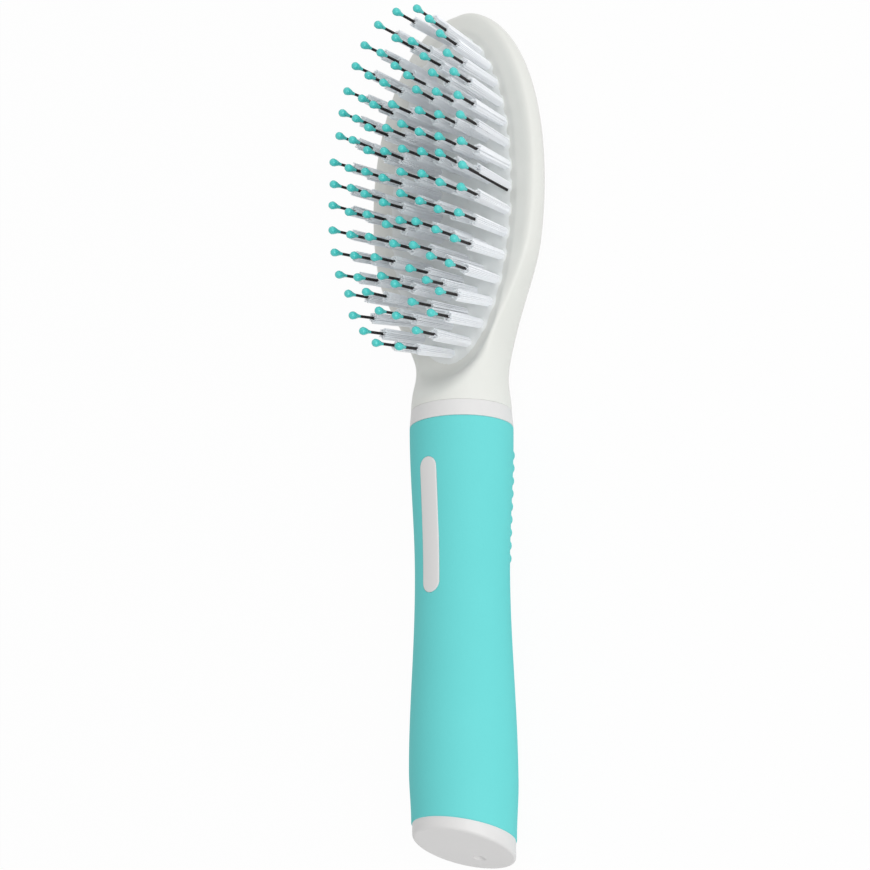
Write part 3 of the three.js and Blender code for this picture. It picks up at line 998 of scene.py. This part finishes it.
@dataclass
class Handle:
    """Handle: a white core with a collar and a front inlay, and the soft sleeve round it."""

    seam_gap: float = 0.03
    seam_edge: float = 0.08
    seam_radius: float = 12.9
    collar_length: float = 4.25
    sleeve_length: float = 101.95
    sleeve_wall: float = 2.0
    top_radius: float = 13.25
    waist_radius: float = 11.93
    waist_at: float = 39.0
    belly_radius: float = 13.4
    belly_at: float = 88.0
    end_radius: float = 12.85
    bore_radius: float = 7.6
    edge_round: float = 0.35
    slant_degrees: float = 14.3
    slant_from: float = 60.0
    inlay_at: float = 9.8
    inlay_length: float = 34.4
    inlay_width: float = 5.5
    inlay_rise: float = 0.12
    inlay_lap: float = 0.1
    inlay_depth: float = 1.4
    inlay_columns: int = 120
    inlay_rows: int = 24
    window_round: float = 0.15
    window_margin: float = 1.0
    window_pitch: float = 0.16
    rib_row_pitch: float = 0.25
    plain_pitch: float = 1.2
    window_degrees: float = 18.0
    window_step_degrees: float = 0.75
    plain_step_degrees: float = 2.4
    core_pitch: float = 4.0
    ribs: int = 9
    first_rib_at: float = 7.05
    rib_pitch: float = 3.35
    rib_half_width: float = 0.95
    rib_height: float = 0.4
    rib_half_degrees: float = 52.0
    rib_fade_degrees: float = 7.0
    round_steps: int = 96

    @property
    def slope(self) -> float:
        """Run along the handle of the slanted end for each millimetre across."""
        return math.tan(math.radians(self.slant_degrees))

    @property
    def sleeve_end(self) -> float:
        """Place of the sleeve's end on the axis, from the seam."""
        return -self.collar_length - self.sleeve_length

    def radius(self, down: float) -> float:
        """Radius of the grip.

        Args:
            down: Distance from the top edge of the sleeve.

        Returns:
            The radius there.
        """
        if down < self.waist_at:
            return lerp(self.top_radius, self.waist_radius, ease(down / self.waist_at))
        if down < self.belly_at:
            share = (down - self.waist_at) / (self.belly_at - self.waist_at)
            return lerp(self.waist_radius, self.belly_radius, ease(share))
        share = (down - self.belly_at) / (self.sleeve_length - self.belly_at)
        return lerp(self.belly_radius, self.end_radius, ease(share))

    def inlay_distance(self, down: float, across: float) -> float:
        """Distance from the rim of the long round-ended inlay, negative inside it.

        Args:
            down: Distance from the top edge of the sleeve.
            across: Distance round the handle from its front.

        Returns:
            The signed distance.
        """
        straight = (self.inlay_length - self.inlay_width) / 2
        past = max(abs(down - self.inlay_at - self.inlay_length / 2) - straight, 0.0)
        return math.hypot(past, across) - self.inlay_width / 2

    def rib_rise(self, down: float, angle: float) -> float:
        """Height of the cross ribs over the grip.

        Args:
            down: Distance from the top edge of the sleeve.
            angle: Angle from the front of the handle, in radians.

        Returns:
            The height, which is zero between the ribs and away from the back.
        """
        nearest = min(max(round((down - self.first_rib_at) / self.rib_pitch), 0), self.ribs - 1)
        off = abs(down - self.first_rib_at - nearest * self.rib_pitch) / self.rib_half_width
        from_back = HALF_TURN - abs(math.degrees(angle))
        fade = ease((self.rib_half_degrees - from_back) / self.rib_fade_degrees)
        return self.rib_height * fade * math.sqrt(max(1 - off * off, 0.0))

    def sleeve_rows(self) -> list[tuple[float, float]]:
        """Rings of the sleeve from its top edge to its end.

        Returns:
            Pairs of distance from the top edge and inset of the skin.
        """
        edge = quarter_round(self.edge_round)
        top = self.inlay_at - self.window_margin
        end = self.inlay_at + self.inlay_length + self.window_margin
        cap = self.inlay_width / 2 + self.window_margin
        downs = spaced(self.edge_round, top, self.rib_row_pitch)
        downs += spaced(top, top + cap, self.window_pitch)
        downs += spaced(top + cap, end - cap, self.rib_row_pitch)
        downs += spaced(end - cap, end, self.window_pitch)
        downs += spaced(end, self.sleeve_length - self.edge_round, self.plain_pitch)
        skin = [(down, 0.0) for down in downs[:-1]]
        closing = [(self.sleeve_length - down, inset) for down, inset in reversed(edge)]
        lip = self.sleeve_wall
        return [(0.0, lip)] + edge + skin + closing + [(self.sleeve_length, lip)]

    def sleeve_angles(self) -> list[float]:
        """Angles round the sleeve, closer together beside the inlay.

        Returns:
            Angles from the front, in radians, from one side of the back round to the other.
        """
        half = spaced(0.0, self.window_degrees, self.window_step_degrees)
        half += spaced(self.window_degrees, HALF_TURN, self.plain_step_degrees)
        degrees = [-angle for angle in reversed(half[:-1])] + [0.0] + half
        return [math.radians(angle) for angle in degrees]

    def build_sleeve(self, placement: Placement) -> bpy.types.Object:
        """Models the soft sleeve with its window and its ribs.

        Args:
            placement: Where the brush lies.

        Returns:
            The sleeve.
        """
        rows = self.sleeve_rows()
        angles = self.sleeve_angles()

        def place(row: int, column: int) -> Vector:
            """Point of the sleeve.

            Args:
                row: Number of the ring, from the top edge.
                column: Number of the angle round the handle.

            Returns:
                The point.
            """
            down, inset = rows[row]
            angle = angles[column]
            skin = self.radius(down)
            into = -self.inlay_lap - self.inlay_distance(down, skin * angle)
            window = self.inlay_depth * ease((into + self.window_round / 2) / self.window_round)
            radius = skin - max(inset, window) + self.rib_rise(down, angle)
            height = radius * math.cos(angle)
            share = max(down - self.slant_from, 0.0) / (self.sleeve_length - self.slant_from)
            x = -self.collar_length - down + share * self.slope * height
            return Vector((x, radius * math.sin(angle), height))

        mesh = tube_skin(len(rows), len(angles), place)
        bmesh.ops.bridge_loops(mesh, edges=open_rims(mesh))
        bmesh.ops.recalc_face_normals(mesh, faces=mesh.faces)
        return placement.piece(mesh, "grip", GRIP_ELASTOMER.material(), Slot.SOFT_GRIP, "grip_sleeve")

    def build_core(self, placement: Placement) -> bpy.types.Object:
        """Models the collar and the tube of the core under the sleeve.

        Args:
            placement: Where the brush lies.

        Returns:
            The core.
        """
        top = -self.seam_gap
        outline = [(top, self.bore_radius)]
        outline += [
            (top - along, self.seam_radius - inset) for along, inset in quarter_round(self.seam_edge)
        ]
        outline += [
            (-self.collar_length + along, self.top_radius - inset)
            for along, inset in reversed(quarter_round(self.edge_round / 2))
        ]
        stop = self.sleeve_length - self.end_radius * self.slope - self.sleeve_wall
        downs = [0.0] + spaced(0.0, stop, self.core_pitch)
        wall = self.sleeve_wall + self.edge_round
        outline += [(-self.collar_length - down, self.radius(down) - wall) for down in downs]
        outline += [(-self.collar_length - stop, self.bore_radius), (top, self.bore_radius)]
        mesh = spun(outline, self.round_steps)
        return placement.piece(mesh, "handle_core", TRIM_ABS.material(), Slot.WHITE_ABS, "handle_core")

    def build_inlay(self, placement: Placement) -> bpy.types.Object:
        """Models the long inlay of the core that fills the window of the sleeve.

        Args:
            placement: Where the brush lies.

        Returns:
            The inlay.
        """
        mesh = sheet(self.inlay_columns, self.inlay_rows)
        half = self.inlay_length / 2
        for vert in mesh.verts:
            along = half * math.sin(math.pi / 2 * vert.co.x)
            past = max(abs(along) - (half - self.inlay_width / 2), 0.0)
            wide = math.sqrt(max((self.inlay_width / 2) ** 2 - past ** 2, 0.0))
            across = wide * math.sin(math.pi / 2 * vert.co.y)
            down = self.inlay_at + half - along
            drop = edge_drop(self.edge_round, self.edge_round + self.inlay_distance(down, across))
            radius = self.radius(down) + self.inlay_rise - drop
            angle = across / self.radius(down)
            vert.co = (-self.collar_length - down, radius * math.sin(angle), radius * math.cos(angle))
        bmesh.ops.remove_doubles(mesh, verts=mesh.verts, dist=TOLERANCE)
        add_skirt(mesh, Vector((0, 0, -self.inlay_depth)))
        return placement.piece(mesh, "inlay", TRIM_ABS.material(), Slot.WHITE_ABS)


@dataclass
class EndCap:
    """End cap: a rim set in a little from the sleeve and a slanted flat face with one small dimple."""

    handle: Handle
    gap: float = 0.05
    inset: float = 0.25
    rim: float = 3.75
    tuck: float = 1.3
    edge_round: float = 0.75
    slant_degrees: float = 18.5
    dimple_radius: float = 1.6
    dimple_floor: float = 0.7
    dimple_depth: float = 1.2
    dimple_from_axis: float = 5.8
    face_columns: int = 120

    def build(self, placement: Placement) -> bpy.types.Object:
        """Models the slanted face with its dimple and draws its rim back until it is inside the sleeve.

        Args:
            placement: Where the brush lies.

        Returns:
            The end cap.
        """
        radius = self.handle.end_radius - self.inset
        slant = math.radians(self.slant_degrees)
        below = self.dimple_from_axis * math.cos(slant)
        mesh = sheet(self.face_columns, self.face_columns)
        for vert in mesh.verts:
            y, z = (radius * share for share in disc_point(vert.co.x, vert.co.y))
            drop = edge_drop(self.edge_round, math.hypot(y, z) - radius + self.edge_round)
            off = math.hypot(y, z + below) / self.dimple_radius
            dent = self.dimple_depth * (1 - ease((off - self.dimple_floor) / (1 - self.dimple_floor)))
            face = self.handle.sleeve_end - self.gap - self.rim + math.tan(slant) * z
            vert.co = (face + drop + dent, y, z)
        add_skirt(mesh, Vector((self.rim + self.tuck, 0, 0)))
        return placement.piece(mesh, "end_cap", TRIM_ABS.material(), Slot.WHITE_ABS, "end_cap")


# The studio


@dataclass(frozen=True)
class SoftBox:
    """A square studio lamp that faces the brush, with its distance and size in metres."""

    name: str
    towards: tuple[float, float, float]
    distance: float
    size: float
    watts: float

    def build(self, target: Vector) -> None:
        """Hangs the lamp.

        Args:
            target: Point that it faces.
        """
        data = bpy.data.lights.new(self.name, "AREA")
        data.shape = "SQUARE"
        data.size = self.size
        data.energy = self.watts
        lamp = bpy.data.objects.new(self.name, data)
        heading = Vector(self.towards).normalized()
        lamp.location = target + heading * self.distance
        lamp.rotation_euler = heading.to_track_quat("Z", "Y").to_euler()
        bpy.context.scene.collection.objects.link(lamp)


@dataclass
class Studio:
    """Pale floor, in metres, soft lamps and the camera of the photograph, whose frame is square."""

    turn_degrees: float = 42.44
    dip_degrees: float = 15.23
    roll_degrees: float = 0.16
    distance: float = 552.5
    aim_behind_seam: float = 8.4
    slide_right: float = -6.79
    slide_up: float = 2.34
    focal_pixels: float = 2169.5
    frame_pixels: float = 870.0
    sensor_mm: float = 36.0
    floor_size: float = 6.0
    floor_colour: str = "#F4F4F4"
    background: float = 1.0
    floor_glow: float = 0.96
    sky: float = 0.61
    lamps: tuple[SoftBox, ...] = (
        SoftBox("key", (-0.3, -0.82, 0.42), 1.0, 0.7, 3.9),
        SoftBox("fill", (0.75, -0.5, 0.4), 1.2, 1.2, 3.1),
    )

    def build_camera(self, placement: Placement) -> None:
        """Sets up the camera.

        Args:
            placement: Where the brush lies.
        """
        turn, dip, roll = (
            math.radians(angle) for angle in (self.turn_degrees, self.dip_degrees, self.roll_degrees)
        )
        right = Vector((0, -math.cos(turn), -math.sin(turn)))
        facing = Vector((0, -math.sin(turn), math.cos(turn)))
        along = Vector((1, 0, 0))
        back = facing * math.cos(dip) - along * math.sin(dip)
        up = facing * math.sin(dip) + along * math.cos(dip)
        rolled_right = right * math.cos(roll) - up * math.sin(roll)
        rolled_up = right * math.sin(roll) + up * math.cos(roll)
        aim = Vector((placement.seam_x - self.aim_behind_seam, 0, placement.axis_z))
        place = aim + back * self.distance + rolled_right * self.slide_right + rolled_up * self.slide_up
        data = bpy.data.cameras.new("camera")
        data.sensor_width = self.sensor_mm
        data.lens = self.sensor_mm * self.focal_pixels / self.frame_pixels
        camera = bpy.data.objects.new("camera", data)
        axes = Matrix((rolled_right, rolled_up, back)).transposed().to_4x4()
        camera.matrix_world = Matrix.Translation(place * MM) @ axes
        bpy.context.scene.collection.objects.link(camera)
        bpy.context.scene.camera = camera

    def seen_directly(self, tree: bpy.types.NodeTree) -> bpy.types.NodeSocket:
        """Light Path nodes that tell camera, glossy and transmission rays from the rest.

        Args:
            tree: The node tree that they go into.

        Returns:
            A socket that is 1 for those rays.
        """
        path = add_node(tree, "ShaderNodeLightPath")
        glossy = add_node(tree, "ShaderNodeMath", {"operation": "MAXIMUM"})
        tree.links.new(path.outputs["Is Camera Ray"], glossy.inputs[0])
        tree.links.new(path.outputs["Is Glossy Ray"], glossy.inputs[1])
        clear = add_node(tree, "ShaderNodeMath", {"operation": "MAXIMUM"})
        tree.links.new(glossy.outputs[0], clear.inputs[0])
        tree.links.new(path.outputs["Is Transmission Ray"], clear.inputs[1])
        return clear.outputs[0]

    def build_floor(self) -> None:
        """Lays the pale floor, which glows a little to the camera and still takes the brush's shadow."""
        material = bpy.data.materials.new("floor_paper_white")
        material.use_nodes = True
        tree = material.node_tree
        tree.nodes.clear()
        paper = add_node(
            tree, "ShaderNodeBsdfDiffuse", {"Color": linear(self.floor_colour)},
        ).outputs["BSDF"]
        glow = add_node(tree, "ShaderNodeEmission", {"Strength": self.background}).outputs["Emission"]
        share = add_node(
            tree, "ShaderNodeMapRange", {"To Max": self.floor_glow}, {"Value": self.seen_directly(tree)},
        ).outputs["Result"]
        mix = add_node(tree, "ShaderNodeMixShader", links={"Fac": share})
        tree.links.new(paper, mix.inputs[1])
        tree.links.new(glow, mix.inputs[2])
        add_node(tree, "ShaderNodeOutputMaterial", links={"Surface": mix.outputs["Shader"]})
        mesh = sheet(1, 1, self.floor_size / 2)
        data = bpy.data.meshes.new("floor")
        mesh.to_mesh(data)
        mesh.free()
        data.materials.append(material)
        floor = bpy.data.objects.new("floor", data)
        bpy.context.scene.collection.objects.link(floor)

    def build_light(self, target: Vector) -> None:
        """Sets the sky and hangs the lamps.

        Args:
            target: Point that the lamps face.
        """
        world = bpy.data.worlds.new("studio")
        world.use_nodes = True
        tree = world.node_tree
        tree.nodes.clear()
        strength = add_node(
            tree, "ShaderNodeMapRange", {"To Min": self.sky, "To Max": self.background},
            {"Value": self.seen_directly(tree)},
        ).outputs["Result"]
        sky = add_node(tree, "ShaderNodeBackground", {"Color": (1, 1, 1, 1)}, {"Strength": strength})
        add_node(tree, "ShaderNodeOutputWorld", links={"Surface": sky.outputs["Background"]})
        bpy.context.scene.world = world
        for lamp in self.lamps:
            lamp.build(target)


def main() -> None:
    """Builds the brush and the studio, and reports each piece."""
    logging.basicConfig(level=logging.INFO, format="%(name)s: %(message)s")
    head = BrushHead()
    placement = Placement.from_frame(head.length)
    studio = Studio()
    studio.build_camera(placement)
    handle = Handle()
    tufts = TuftField(head)
    pieces = [
        head.build(placement),
        tufts.build_bed(placement),
        tufts.build_filaments(placement),
        tufts.build_quills(placement),
        tufts.build_beads(placement),
        handle.build_core(placement),
        handle.build_inlay(placement),
        handle.build_sleeve(placement),
        EndCap(handle).build(placement),
    ]
    for piece in pieces:
        LOG.info("%s: %d faces", piece.name, len(piece.data.polygons))
    studio.build_floor()
    studio.build_light(Vector((placement.seam_x, 0, placement.axis_z)) * MM)
    bpy.context.scene.view_settings.view_transform = "Standard"


if __name__ == "__main__":
    main()
